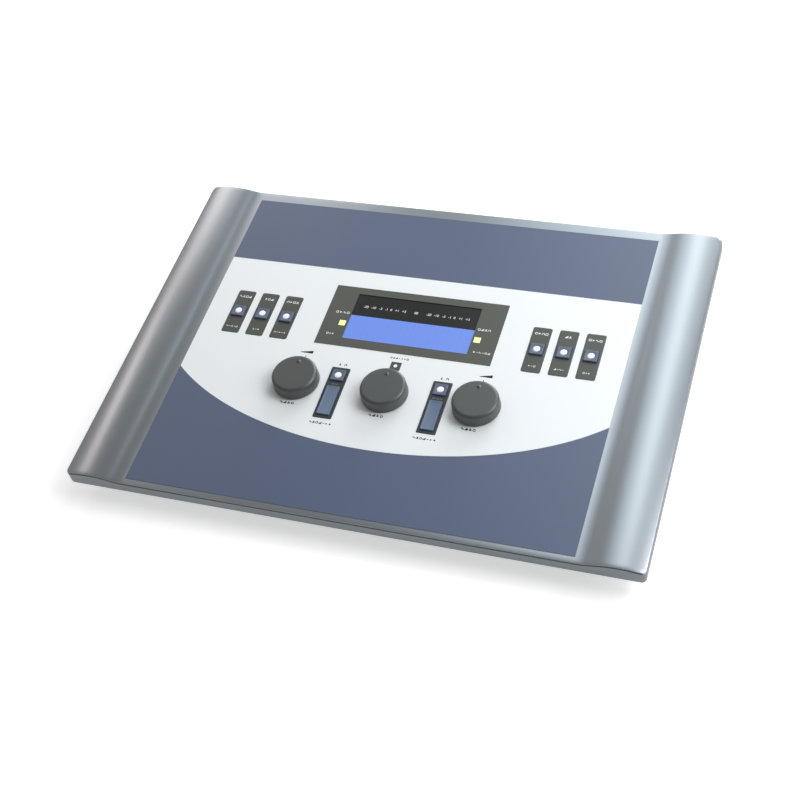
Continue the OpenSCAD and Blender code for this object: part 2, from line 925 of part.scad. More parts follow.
// Switch bodies under every cap, each with the well that takes the stem
module switches() {
  color("dimgray")
    on_deck() {
      for (x = plate_places)
        switch_body(x, plate_y);
      for (s = [-1, 1]) {
        switch_body(s * key_x, talk_y);
        switch_body(s * key_x, key_y);
      }
    }
}

module switch_body(x, y) {
  translate([x, y, 0])
    difference() {
      block(switch_side, switch_side, -board_drop, switch_top);
      post(well_r, well_low, switch_top + 1);
    }
}

// ---- Lower housing ----

// The space under the deck's tray
module under_tray() {
  on_deck()
    translate([-far / 2, -far / 2, -deck_t - far])
      cube([far, far, far]);
}

module housing_plan(inset) {
  translate([0, housing_y])
    round_rect(housing_w - 2 * inset, housing_d - 2 * inset, housing_r - inset);
}

module lower_housing() {
  color(silver_dark)
    difference() {
      intersection() {
        union() {
          translate([0, 0, foot_h])
            linear_extrude(deck_z * 2)
              difference() {
                housing_plan(0);
                housing_plan(housing_wall);
              }
          for (p = pillar_places)
            translate([p[0], p[1], 0])
              post(pillar_r, cover_top, deck_z * 2);
        }
        under_tray();
      }
      for (p = pillar_places)
        translate([p[0], p[1], 0])
          post(screw_r + play / 2, cover_top - 1, foot_h + screw_l + 1);
      rear_block(rear_w + 2 * play, rear_low - play, rear_low + rear_h + play, rear_in);
      rear_block(rear_w - 2 * rear_ledge, rear_low + rear_ledge, rear_window_high, rear_in - housing_wall);
    }
}

// A block that runs out through the rear wall from an inner plane
module rear_block(w, z_low, z_high, y_low) {
  translate([rear_x - w / 2, y_low, z_low])
    cube([w, wall_y_rear + 1 - y_low, z_high - z_low]);
}

// Plate with the holes for the sockets, the ports and the power switch
module rear_panel() {
  y_low = rear_in - 1;
  y_high = wall_y_rear + 1;
  color(silver_dark)
    difference() {
      translate([rear_x - rear_w / 2, rear_in, rear_low])
        cube([rear_w, rear_t, rear_h]);
      for (x = socket_places)
        translate([x, 0, socket_z])
          post_y(socket_nose_r + play, y_low, y_high);
      translate([inlet_x, 0, board_top_z + inlet_h / 2])
        post_y(inlet_nose_r + play, y_low, y_high);
      translate([port_x - port_w / 2 - play, y_low, board_top_z - play])
        cube([port_w + 2 * play, y_high - y_low, port_h + 2 * play]);
      power_place()
        cube([frame_w - 2 * frame_rim + 2 * play, 8, frame_l - 2 * frame_rim + 2 * play], center = true);
    }
}

module bottom_cover() {
  color(silver_dark)
    union() {
      difference() {
        translate([0, 0, foot_h])
          linear_extrude(cover_t)
            housing_plan(housing_wall + play);
        for (p = pillar_places)
          translate([p[0], p[1], 0])
            post(screw_r + play, foot_h - 1, cover_top + 1);
        for (s = [-1, 1])
          air_slots(s * inner_w / 5);
      }
      for (p = stand_places)
        translate([p[0], p[1], 0])
          post(pillar_r, cover_top - eps, board_top_z - board_t);
    }
}

// A row of air slots
module air_slots(x) {
  air_w = 2.4;
  air_l = 34;
  air_pitch = 6;
  for (i = [0:slot_count - 1])
    translate([x + (i - (slot_count - 1) / 2) * air_pitch, housing_y - inner_d / 6, foot_h - 1])
      linear_extrude(cover_t + 2)
        round_rect(air_w, air_l, air_w / 2 - eps);
}

module feet() {
  color(near_black)
    for (p = foot_places)
      translate([p[0], p[1], 0])
        post(foot_radius, 0, foot_h);
}

module cover_screws() {
  color(metal)
    for (p = pillar_places)
      translate([p[0], p[1], foot_h])
        pan_screw(screw_l);
}

// ---- Rear parts ----

module audio_board() {
  color(board_green)
    translate([-audio_board_w / 2, audio_board_rear - audio_board_d, board_top_z - board_t])
      cube([audio_board_w, audio_board_d, board_t]);
}

// Headphone, bone-conductor, microphone and response sockets
module sockets() {
  mouth_y = wall_y_rear + socket_nose_l;
  color(near_black)
    for (x = socket_places)
      translate([x, 0, socket_z])
        difference() {
          union() {
            post_y(socket_nose_r, rear_in - eps, mouth_y);
            translate([-socket_body_w / 2, rear_in - socket_body_l, -socket_body_h / 2])
              cube([socket_body_w, socket_body_l, socket_body_h]);
          }
          post_y(socket_bore_r, mouth_y - socket_bore_l, mouth_y + 1);
        }
}

module socket_nuts() {
  color(metal)
    for (x = socket_places)
      translate([x, wall_y_rear, socket_z])
        difference() {
          post_y(socket_nut_r, 0, socket_nut_t);
          post_y(socket_nose_r + play / 2, -1, socket_nut_t + 1);
          ring_notches();
        }
}

// Notches round a ring nut, for its key
module ring_notches() {
  notch_count = 12;
  for (i = [0:notch_count - 1])
    rotate([0, i * 360 / notch_count, 0])
      translate([socket_nut_r, 0, 0])
        post_y(0.6, -1, socket_nut_t + 1);
}

// Low-voltage power inlet: a barrel with a middle pin
module power_inlet() {
  barrel_r = 2.9;
  barrel_l = 10;
  pin_r = 1;
  color(near_black)
    translate([inlet_x, 0, board_top_z + inlet_h / 2]) {
      difference() {
        union() {
          post_y(inlet_nose_r, rear_in - eps, wall_y_rear);
          translate([-inlet_w / 2, rear_in - inlet_l, -inlet_h / 2])
            cube([inlet_w, inlet_l, inlet_h]);
        }
        post_y(barrel_r, wall_y_rear - barrel_l, wall_y_rear + 1);
      }
      post_y(pin_r, wall_y_rear - barrel_l - 1, wall_y_rear - 1);
    }
}

// Data port with its contact tongue
module data_port() {
  shell = 1.4;
  tongue_w = 5.6;
  tongue_h = 3.2;
  mouth_l = 9;
  color(metal)
    translate([port_x, wall_y_rear - port_l, board_top_z]) {
      difference() {
        translate([-port_w / 2, 0, 0])
          cube([port_w, port_l, port_h]);
        translate([-port_w / 2 + shell, port_l - mouth_l, shell])
          cube([port_w - 2 * shell, mouth_l + 1, port_h - 2 * shell]);
      }
      translate([-tongue_w / 2, port_l - mouth_l - 1, (port_h - tongue_h) / 2])
        cube([tongue_w, mouth_l, tongue_h]);
    }
}

// Place of the power switch: its long side runs across the rear panel, the
// middle of its rim's inner face is the origin and its axle lies along x
module power_place() {
  translate([power_x, wall_y_rear, power_z])
    rotate([0, 90, 0])
      children();
}

// Frame of the power switch, clipped into the rear panel
module power_frame() {
  body_w = frame_w - 2 * frame_rim;
  body_l = frame_l - 2 * frame_rim;
  hollow_w = rocker_w + 2 * rocker_side_gap;
  hollow_l = rocker_l + 2 * rocker_end_gap;
  color(near_black)
    power_place()
      difference() {
        union() {
          translate([-frame_w / 2, 0, -frame_l / 2])
            cube([frame_w, frame_rim_t, frame_l]);
          translate([-body_w / 2, -frame_deep, -body_l / 2])
            cube([body_w, frame_deep + eps, body_l]);
        }
        translate([-hollow_w / 2, frame_rim_t - rocker_hollow, -hollow_l / 2])
          cube([hollow_w, rocker_hollow + 1, hollow_l]);
        translate([0, frame_rim_t - axle_in, 0])
          rotate([0, 90, 0])
            cylinder(r = axle_r + axle_gap, h = axle_l + 0.4, center = true);
      }
}

// Rocker with its axle, drawn in its off position
module power_rocker() {
  half = rocker_l / 2;
  face = axle_in + rocker_rise;
  lean = rock_angle / 2;
  section = [
    [0, 3 - half],
    [face - 1.2, -half],
    [face, 0.6 - half],
    [face - half * tan(lean), 0],
    [face, half - 0.6],
    [face - 1.2, half],
    [0, half - 3]
  ];
  color(near_black)
    power_place()
      translate([0, frame_rim_t - axle_in, 0])
        rotate([-lean, 0, 0])
          union() {
            translate([-rocker_w / 2, 0, 0])
              rotate([90, 0, 90])
                linear_extrude(rocker_w)
                  polygon(section);
            rotate([0, 90, 0])
              cylinder(r = axle_r, h = axle_l, center = true);
          }
}

// Flat cable from the main board down to the audio board, with its plugs
module ribbon_cable() {
  plug_low = -board_drop - board_t - plug_h;
  low_y = deck_to_y(cable_y, plug_low);
  strip_low = board_top_z + plug_h / 2;
  strip_high = deck_z + cable_y * sin(tilt) + (plug_low + plug_h / 2) * cos(tilt);
  color("lightgray") {
    on_deck()
      translate([cable_x, cable_y, 0])
        block(plug_w, plug_d, plug_low, plug_low + plug_h);
    translate([cable_x, low_y, 0])
      block(strip_w, strip_t, strip_low, strip_high);
    translate([cable_x, low_y, 0])
      block(plug_w, plug_d, board_top_z, board_top_z + plug_h);
  }
}

top_panel();
deck_tray();
film_rear();
film_controls();
film_front();
display_bezel();
meter_window();
lcd_window();
lcd_module();
meter_bars();
lamp_left();
lamp_right();
button_plates();
button_left_outer();
button_left_middle();
button_left_inner();
button_right_inner();
button_right_middle();
button_right_outer();
lens_left_outer();
lens_left_middle();
lens_left_inner();
lens_right_inner();
lens_right_middle();
lens_right_outer();
key_frame_left();
key_frame_right();
talk_button_left();
talk_button_right();
talk_lens_left();
talk_lens_right();
present_key_left();
present_key_right();
knob_left();
knob_centre();
knob_right();
knob_shaft_left();
knob_shaft_centre();
knob_shaft_right();
encoders();
encoder_nuts();
centre_plate();
centre_lamp();
main_board();
switches();
board_posts();
deck_screws();
lower_housing();
rear_panel();
bottom_cover();
feet();
cover_screws();
audio_board();
sockets();
socket_nuts();
power_inlet();
data_port();
power_frame();
power_rocker();
ribbon_cable();
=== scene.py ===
"""Looks of a desktop audiometer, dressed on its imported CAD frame.

Sizes are millimetres in the deck's own frame (x right, v up the slope, z off
the flat of the panel), and on_deck() turns them into metres on the desk.
"""

import math

import bpy
from mathutils import Matrix, Vector

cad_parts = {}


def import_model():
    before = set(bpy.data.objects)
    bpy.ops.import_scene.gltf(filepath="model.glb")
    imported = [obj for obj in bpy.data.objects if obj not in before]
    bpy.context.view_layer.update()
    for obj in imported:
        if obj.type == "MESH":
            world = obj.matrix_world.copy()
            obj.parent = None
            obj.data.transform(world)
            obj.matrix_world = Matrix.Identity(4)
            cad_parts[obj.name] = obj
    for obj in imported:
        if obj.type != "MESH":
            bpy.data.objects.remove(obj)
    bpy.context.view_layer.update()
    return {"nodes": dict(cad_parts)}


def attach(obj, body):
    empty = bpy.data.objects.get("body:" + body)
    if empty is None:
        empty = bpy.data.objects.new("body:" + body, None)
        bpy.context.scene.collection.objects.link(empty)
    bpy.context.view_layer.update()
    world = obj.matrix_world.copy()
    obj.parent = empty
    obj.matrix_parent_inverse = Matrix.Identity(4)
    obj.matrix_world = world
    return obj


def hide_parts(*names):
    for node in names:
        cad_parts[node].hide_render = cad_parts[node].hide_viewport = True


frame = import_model()
scene = bpy.context.scene

# ---- Sizes, as in the source ----

DECK_W, DECK_D, DECK_T = 380.0, 267.0, 9.6
TILT = math.radians(8.0)
LIFT = 12.0
CREST_H, CREST_R, FOOT_R, CREST_IN = 3.0, 66.0, 40.0, 16.5
CREST_X = DECK_W / 2 - CREST_IN
TURN = math.acos(1 - CREST_H / (CREST_R + FOOT_R))
FOOT_X = CREST_X - (CREST_R + FOOT_R) * math.sin(TURN)
BLEND_X = CREST_X - CREST_R * math.sin(TURN)
PANEL_T, PANEL_CORNER, PANEL_EDGE, PANEL_LEAN = 1.2, 3.0, 0.35, 0.8
GROOVE_H, GROOVE_IN = 0.7, 1.2
TRAY_FLOOR_Z = 2.0 - DECK_T
OPEN_X, OPEN_FRONT, OPEN_REAR = 152.5, -100.6, 106.9
FILM_T = 0.25
BEZEL_W, BEZEL_D, BEZEL_V = 119.8, 48.7, 26.55
LAMP_HOLE, LAMP_V, SHAFT_HOLE = 2.6, -10.35, 9.2
DECK_Z = LIFT + DECK_D / 2 * math.sin(TILT) + DECK_T * math.cos(TILT)
DECK_Y = -(DECK_T - CREST_H) * math.sin(TILT) / 2
PLATES = {
    "left_outer": -124.8, "left_middle": -106.8, "left_inner": -88.8,
    "right_inner": 88.8, "right_middle": 106.8, "right_outer": 124.8,
}
PLATE_V, PLATE_W, PLATE_D, PLATE_T = 18.5, 12.8, 38.0, 0.45
CAP, CAP_GAP, CAP_TOP, CAP_CORNER = 9.0, 0.6, 1.8, 0.6
CAP_HOLE = CAP + CAP_GAP
FLANGE, FLANGE_TOP, FLANGE_LOW, STEM_R, STEM_LOW = 0.9, -1.5, -2.5, 1.6, -5.3
LENS_R, LENS_SEAT = 2.4, 0.6
KEY_X, TALK_V, KEY_V, KEY_W, KEY_D = 35.5, -24.85, -45.9, 8.9, 23.4
FRAME_V, FRAME_W, FRAME_D, FRAME_T = -38.9, 12.9, 42.0, 0.7
KNOBS = {"left": -62.2, "centre": 0.0, "right": 62.2}
KNOB_V, KNOB_R, KNOB_TOP, KNOB_EDGE = -33.9, 15.8, 9.4, 2.2
DOT_V, DOT_R, DOT_BALL = 9.6, 1.4, 2.057
MARK_T, MARK_GAP = 0.012, 0.002


def on_deck(x, v, z):
    """A place in the deck's frame, in metres on the desk."""
    y = DECK_Y + v * math.cos(TILT) - z * math.sin(TILT)
    h = DECK_Z + v * math.sin(TILT) + z * math.cos(TILT)
    return Vector((x, y, h)) / 1000.0


def wing_z(x):
    """Height of the panel's upper surface."""
    x = abs(x)
    if x <= FOOT_X:
        return 0.0
    if x <= BLEND_X:
        return FOOT_R - math.sqrt(FOOT_R ** 2 - (x - FOOT_X) ** 2)
    return CREST_H - CREST_R + math.sqrt(CREST_R ** 2 - (x - CREST_X) ** 2)


# ---- Materials ----

def material(name, color, rough=0.5, metal=0.0, **more):
    """A Principled material whose colour, roughness and bump vary by nodes.

    vary: colour variation, gloss_vary: roughness variation, grain: bump height
    in metres, bump: its strength, size: the grain's size in mm, stretch: the
    grain's stretch along x, y and z, spec: specular level, glow: the colour
    and strength of its own light.
    """
    mat = bpy.data.materials.new(name)
    mat.use_nodes = True
    nodes, links = mat.node_tree.nodes, mat.node_tree.links
    bsdf = nodes["Principled BSDF"]
    vary, gloss_vary = more.get("vary", 0.04), more.get("gloss_vary", 0.12)
    size, stretch = more.get("size", 0.5), more.get("stretch", (1, 1, 1))
    coord = nodes.new("ShaderNodeTexCoord")
    mapping = nodes.new("ShaderNodeMapping")
    mapping.inputs["Scale"].default_value = [1 / s for s in stretch]
    links.new(coord.outputs["Object"], mapping.inputs["Vector"])
    fine = nodes.new("ShaderNodeTexNoise")
    fine.inputs["Scale"].default_value = 1000.0 / size
    fine.inputs["Detail"].default_value = 3.0
    links.new(mapping.outputs["Vector"], fine.inputs["Vector"])
    broad = nodes.new("ShaderNodeTexNoise")
    broad.inputs["Scale"].default_value = 9.0
    broad.inputs["Detail"].default_value = 2.0
    links.new(coord.outputs["Object"], broad.inputs["Vector"])
    mix = nodes.new("ShaderNodeMix")
    mix.data_type = "RGBA"
    mix.inputs["A"].default_value = [c * (1 - vary) for c in color] + [1]
    mix.inputs["B"].default_value = [min(c * (1 + vary), 1) for c in color] + [1]
    fine_share = 0.35
    blend = nodes.new("ShaderNodeMath")
    blend.operation = "MULTIPLY_ADD"
    blend.inputs[1].default_value = fine_share
    links.new(fine.outputs["Fac"], blend.inputs[0])
    part = nodes.new("ShaderNodeMath")
    part.operation = "MULTIPLY"
    part.inputs[1].default_value = 1 - fine_share
    links.new(broad.outputs["Fac"], part.inputs[0])
    links.new(part.outputs[0], blend.inputs[2])
    links.new(blend.outputs[0], mix.inputs["Factor"])
    links.new(mix.outputs["Result"], bsdf.inputs["Base Color"])
    spread = nodes.new("ShaderNodeMapRange")
    spread.inputs["To Min"].default_value = rough * (1 - gloss_vary)
    spread.inputs["To Max"].default_value = rough * (1 + gloss_vary)
    links.new(fine.outputs["Fac"], spread.inputs["Value"])
    links.new(spread.outputs["Result"], bsdf.inputs["Roughness"])
    bump = nodes.new("ShaderNodeBump")
    bump.inputs["Strength"].default_value = more.get("bump", 0.35)
    bump.inputs["Distance"].default_value = more.get("grain", 0.00002)
    links.new(fine.outputs["Fac"], bump.inputs["Height"])
    links.new(bump.outputs["Normal"], bsdf.inputs["Normal"])
    bsdf.inputs["Metallic"].default_value = metal
    bsdf.inputs["Specular IOR Level"].default_value = more.get("spec", 0.5)
    mat.cycles.emission_sampling = "NONE"
    if "glow" in more:
        glow, strength = more["glow"]
        bsdf.inputs["Emission Color"].default_value = list(glow) + [1]
        bsdf.inputs["Emission Strength"].default_value = strength
    return mat


def srgb(code):
    """Linear colour from a hex code."""
    parts = [int(code[i:i + 2], 16) / 255 for i in (0, 2, 4)]
    return tuple(c / 12.92 if c <= 0.04045 else ((c + 0.055) / 1.055) ** 2.4 for c in parts)


SILVER = material("silver_paint", srgb("a7aeb4"), 0.29, 0.85, vary=0.012, grain=0.000002,
                  size=0.5, stretch=(1, 8, 1), bump=0.2, gloss_vary=0.03)
TRAY = material("tray_grey", srgb("777e82"), 0.4, 0.8, vary=0.03, grain=0.00001, size=0.3)
CASE = material("case_grey", srgb("6d7276"), 0.55, 0.0, vary=0.05, grain=0.00006, size=0.8,
                bump=0.5)
BLUE = material("film_blue", srgb("5b6780"), 0.34, 0.0, vary=0.02, grain=0.00001, size=0.45,
                bump=0.3, spec=0.5)
WHITE = material("film_white", srgb("f4f9fb"), 0.34, 0.0, vary=0.008, grain=0.00001, size=0.45,
                 bump=0.3)
CHARCOAL = material("trim_charcoal", srgb("53564f"), 0.4, 0.0, vary=0.05, grain=0.00001, size=0.4)
PLATE = material("plate_charcoal", srgb("4c514b"), 0.4, 0.0, vary=0.05, grain=0.00001, size=0.4)
FRAME = material("frame_dark", srgb("393f43"), 0.35, 0.0, vary=0.08, grain=0.00001, size=0.4)
METER = material("meter_black", srgb("272927"), 0.25, 0.0, vary=0.05, grain=0.000004, size=0.6,
                 spec=0.4)
CAPS = material("cap_blue", srgb("5f6b82"), 0.4, 0.0, vary=0.05, grain=0.00001, size=0.3)
KEYS = material("key_blue", srgb("677a94"), 0.36, 0.0, vary=0.05, grain=0.00001, size=0.3)
KNOB = material("knob_grey", srgb("404545"), 0.45, 0.0, vary=0.05, grain=0.00001, size=0.35,
                bump=0.4, spec=1.0)
LENS = material("lens_white", srgb("f4f8fc"), 0.25, 0.0, vary=0.01, grain=0.000005, size=0.5,
                glow=((0.85, 0.93, 1.0), 0.12))
LAMP = material("lamp_yellow", srgb("f2f29a"), 0.3, 0.0, vary=0.02, grain=0.000005, size=0.5,
                glow=((0.9, 0.93, 0.55), 0.35))
METAL = material("metal_plain", srgb("b9b9b5"), 0.3, 1.0, vary=0.04, grain=0.000008, size=0.3)
STEEL = material("screw_steel", srgb("9a9b9c"), 0.35, 1.0, vary=0.06, grain=0.00001, size=0.3)
GREEN = material("board_green", srgb("1f6a44"), 0.4, 0.0, vary=0.12, grain=0.00002, size=2.0)
BLACK = material("part_black", srgb("1b1c1e"), 0.45, 0.0, vary=0.1, grain=0.00003, size=0.4)
RUBBER = material("foot_rubber", srgb("161616"), 0.8, 0.0, vary=0.15, grain=0.00008, size=0.7,
                  bump=0.6)
RIBBON = material("ribbon_grey", srgb("9fa1a3"), 0.45, 0.0, vary=0.06, grain=0.00006, size=1.2,
                  stretch=(1, 1, 60))
INK_WHITE = material("ink_white", srgb("f1f3f1"), 0.5, 0.0, vary=0.03, grain=0.000004, size=0.3)
INK_DARK = material("ink_dark", srgb("15181b"), 0.5, 0.0, vary=0.1, grain=0.000004, size=0.3)
INK_SOFT = material("ink_soft", srgb("8b9092"), 0.5, 0.0, vary=0.1, grain=0.000004, size=0.3)


def lcd_material():
    """Backlit pane: even blue light, faint cells of two lines of characters."""
    mat = material("lcd_blue", srgb("4d6bc4"), 0.22, 0.0, vary=0.02, grain=0.000003, size=0.5)
    nodes, links = mat.node_tree.nodes, mat.node_tree.links
    bsdf = nodes["Principled BSDF"]
    coord = nodes.new("ShaderNodeTexCoord")
    brick = nodes.new("ShaderNodeTexBrick")
    brick.offset = 0.0
    brick.inputs["Color1"].default_value = (0.168, 0.266, 0.53, 1)
    brick.inputs["Color2"].default_value = (0.171, 0.270, 0.54, 1)
    brick.inputs["Mortar"].default_value = (0.181, 0.284, 0.56, 1)
    brick.inputs["Scale"].default_value = 1.0
    brick.inputs["Mortar Size"].default_value = 0.00035
    brick.inputs["Mortar Smooth"].default_value = 0.4
    brick.inputs["Brick Width"].default_value = 0.0042
    brick.inputs["Row Height"].default_value = 0.0086
    links.new(coord.outputs["Object"], brick.inputs["Vector"])
    links.new(brick.outputs["Color"], bsdf.inputs["Emission Color"])
    bsdf.inputs["Emission Strength"].default_value = 0.62
    return mat


LCD = lcd_material()

DRESS = {
    "top_panel": SILVER, "deck_tray": TRAY, "film_rear": BLUE, "film_controls": WHITE,
    "film_front": BLUE, "display_bezel": CHARCOAL, "meter_window": METER, "lcd_window": LCD,
    "lcd_module": METAL, "meter_bars": BLACK, "lamp_left": LAMP, "lamp_right": LAMP,
    "button_plates": PLATE, "key_frame_left": FRAME, "key_frame_right": FRAME,
    "encoders": METAL, "encoder_nuts": METAL, "centre_plate": PLATE, "centre_lamp": LENS,
    "main_board": GREEN, "switches": BLACK, "board_posts": METAL, "deck_screws": STEEL,
    "lower_housing": CASE, "rear_panel": CASE, "bottom_cover": CASE, "feet": RUBBER,
    "cover_screws": STEEL, "audio_board": GREEN, "sockets": BLACK, "socket_nuts": METAL,
    "power_inlet": BLACK, "data_port": METAL, "power_frame": BLACK, "power_rocker": BLACK,
    "ribbon_cable": RIBBON,
}
for side in KNOBS:
    DRESS["knob_" + side] = KNOB
    DRESS["knob_shaft_" + side] = METAL
for side in PLATES:
    DRESS["button_" + side] = CAPS
    DRESS["lens_" + side] = LENS
for side in ("left", "right"):
    DRESS["talk_button_" + side] = CAPS
    DRESS["talk_lens_" + side] = LENS
    DRESS["present_key_" + side] = KEYS
for name, mat in DRESS.items():
    obj = frame["nodes"][name]
    obj.data.materials.clear()
    obj.data.materials.append(mat)


# ---- Mesh tools ----

def add(name, verts, faces, mat, body, stands_for=(), sharp=35.0):
    """A new piece from deck-frame millimetres, smooth but for its edges."""
    mesh = bpy.data.meshes.new(name)
    mesh.from_pydata([on_deck(*p) for p in verts], [], faces)
    mesh.validate()
    mesh.update()
    for poly in mesh.polygons:
        poly.use_smooth = True
    mesh.set_sharp_from_angle(angle=math.radians(sharp))
    mesh.materials.append(mat)
    obj = bpy.data.objects.new(name, mesh)
    scene.collection.objects.link(obj)
    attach(obj, body)
    if stands_for:
        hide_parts(*stands_for)
    return obj


def lines(low, high, fixed, step):
    """Grid lines from low to high through every fixed one, at most step apart."""
    marks = sorted({round(f, 4) for f in list(fixed) + [low, high] if low <= f <= high})
    out = []
    for a, b in zip(marks, marks[1:]):
        n = max(1, math.ceil((b - a) / step))
        out += [a + (b - a) * i / n for i in range(n)]
    return out + [marks[-1]]


def edge_lines(half, radius):
    """Lines that round an upper edge near each end of -half to half."""
    steps = [half - radius * (1 - math.sin(math.radians(a))) for a in (0, 18, 36, 54, 72, 90)]
    return [s * d for d in steps for s in (-1, 1)]


def slab(name, mat, stands_for, centre, size, holes, top, bottom, corner, edge, step,
         fixed=(), lean=0.0):
    """A sheet with round corners, a rounded upper edge and square holes.

    top and bottom give the surface's height at x; holes are (x, v, w, d) in
    the deck's frame, and the corners come from a disc mapping of the grid.
    The outer edge leans in by lean on its way down.
    """
    (cx, cv), (w, d) = centre, size
    hw, hd = w / 2, d / 2
    xs = [h[0] - cx + s * h[2] / 2 for h in holes for s in (-1, 1)]
    vs = [h[1] - cv + s * h[3] / 2 for h in holes for s in (-1, 1)]
    xs = lines(-hw, hw, xs + edge_lines(hw, edge) + [-hw + corner, hw - corner] + list(fixed), step)
    vs = lines(-hd, hd, vs + edge_lines(hd, edge) + [-hd + corner, hd - corner], step)

    def inward(c, half):
        """Where the lower end of an edge goes, for the lean."""
        near = half - abs(c)
        return math.copysign(half - lean - near / 2, c) if near < 2 * lean else c

    def place(x, v):
        """A grid point with the corner rounded, and its drop at the edge."""
        px, pv = abs(x) - (hw - corner), abs(v) - (hd - corner)
        if px > 0 and pv > 0:
            a, b = px / corner, pv / corner
            qx = a * math.sqrt(max(1 - b * b / 2, 0)) * corner
            qv = b * math.sqrt(max(1 - a * a / 2, 0)) * corner
            near = corner - math.hypot(qx, qv)
            x = math.copysign(hw - corner + qx, x)
            v = math.copysign(hd - corner + qv, v)
        else:
            near = min(hw - abs(x), hd - abs(v))
        drop = 0.0
        if near < edge:
            drop = edge - math.sqrt(max(edge ** 2 - (edge - near) ** 2, 0))
        return x + cx, v + cv, drop

    nv = len(vs)
    grid = [place(x, v) for x in xs for v in vs]
    verts = [(x, v, top(x) - drop) for x, v, drop in grid]
    low = [place(inward(x, hw), inward(v, hd)) for x in xs for v in vs]
    verts += [(x, v, bottom(x)) for x, v, drop in low]
    under = len(grid)
    cells = set()
    for i in range(len(xs) - 1):
        mx = (xs[i] + xs[i + 1]) / 2 + cx
        for j in range(nv - 1):
            mv = (vs[j] + vs[j + 1]) / 2 + cv
            if not any(abs(mx - h[0]) < h[2] / 2 and abs(mv - h[1]) < h[3] / 2 for h in holes):
                cells.add((i, j))
    faces = []
    for i, j in sorted(cells):
        a, b, c, e = i * nv + j, (i + 1) * nv + j, (i + 1) * nv + j + 1, i * nv + j + 1
        faces.append((a, b, c, e))
        faces.append((a + under, e + under, c + under, b + under))
        sides = (((i, j - 1), a, b), ((i + 1, j), b, c), ((i, j + 1), c, e), ((i - 1, j), e, a))
        for beside, p, q in sides:
            if beside not in cells:
                faces.append((p, p + under, q + under, q))
    return add(name, verts, faces, mat, "case", stands_for, sharp=32.0)


def rounded(w, d, r, n=7, straight=6):
    """Outline of a rectangle with round corners, about the origin, going round.

    n: steps in a corner, straight: steps along a side.
    """
    out = []
    r = max(r, 0.01)
    corners = ((1, -1), (1, 1), (-1, 1), (-1, -1))
    for k, (sx, sv) in enumerate(corners):
        cx, cv = sx * (w / 2 - r), sv * (d / 2 - r)
        for i in range(n + 1):
            a = math.radians(-90 + 90 * k + 90 * i / n)
            out.append((cx + r * math.cos(a), cv + r * math.sin(a)))
        nxt = corners[(k + 1) % 4]
        tx, tv = nxt[0] * (w / 2 - r), nxt[1] * (d / 2 - r)
        a = math.radians(90 * k)
        sx2, sv2 = cx + r * math.cos(a), cv + r * math.sin(a)
        ex, ev = tx + r * math.cos(a), tv + r * math.sin(a)
        for i in range(1, straight):
            t = i / straight
            out.append((sx2 + (ex - sx2) * t, sv2 + (ev - sv2) * t))
    return out


def loft(name, rings, mat, body, stands_for=(), closed=True, sharp=35.0):
    """A skin over rings of equal length; closed fills the first and the last."""
    n = len(rings[0])
    verts = [p for ring in rings for p in ring]
    faces = []
    for k in range(len(rings) - 1):
        for i in range(n):
            a, b = k * n + i, k * n + (i + 1) % n
            faces.append((a, b, b + n, a + n))
    if closed:
        faces.append(tuple(reversed(range(n))))
        faces.append(tuple((len(rings) - 1) * n + i for i in range(n)))
    return add(name, verts, faces, mat, body, stands_for, sharp)


# ---- Camera ----

def camera():
    """The photograph's camera, solved on the film, window and deck edges."""
    cam = bpy.data.objects.new("camera", bpy.data.cameras.new("camera"))
    scene.collection.objects.link(cam)
    cam.data.sensor_width = 36.0
    cam.data.lens = 63.48
    cam.data.clip_start, cam.data.clip_end = 0.05, 50
    right = Vector((0.94271, 0.29179, -0.16174))
    down = Vector((0.13739, -0.78133, -0.60881))
    ahead = Vector((-0.30401, 0.55171, -0.77665))
    tip = Matrix.Rotation(TILT, 3, "X")
    turn = Matrix((tip @ right, tip @ -down, tip @ -ahead)).transposed()
    cam.matrix_world = Matrix.Translation(on_deck(288.7, -540.1, 708.7)) @ turn.to_4x4()
    scene.camera = cam


camera()


# ---- Top panel ----

cap_holes = [(x, PLATE_V, CAP_HOLE, CAP_HOLE) for x in PLATES.values()]
for s in (-1, 1):
    cap_holes += [(s * KEY_X, TALK_V, CAP_HOLE, CAP_HOLE),
                  (s * KEY_X, KEY_V, KEY_W + CAP_GAP, KEY_D + CAP_GAP)]
panel_holes = cap_holes + [(0, BEZEL_V, BEZEL_W, BEZEL_D), (0, LAMP_V, LAMP_HOLE, LAMP_HOLE)]
panel_holes += [(x, KNOB_V, SHAFT_HOLE, SHAFT_HOLE) for x in KNOBS.values()]
wing_lines = [s * x for s in (-1, 1) for x in
              [FOOT_X] + [FOOT_X + i * (DECK_W / 2 - FOOT_X) / 40 for i in range(1, 40)]]
slab("panel_skin", SILVER, ["top_panel"], (0, 0), (DECK_W, DECK_D), panel_holes,
     wing_z, lambda x: wing_z(x) - PANEL_T, PANEL_CORNER, PANEL_EDGE, step=12.0,
     fixed=wing_lines, lean=PANEL_LEAN)


# ---- Tray: floor, rounded lower edge, side, groove and lip ----

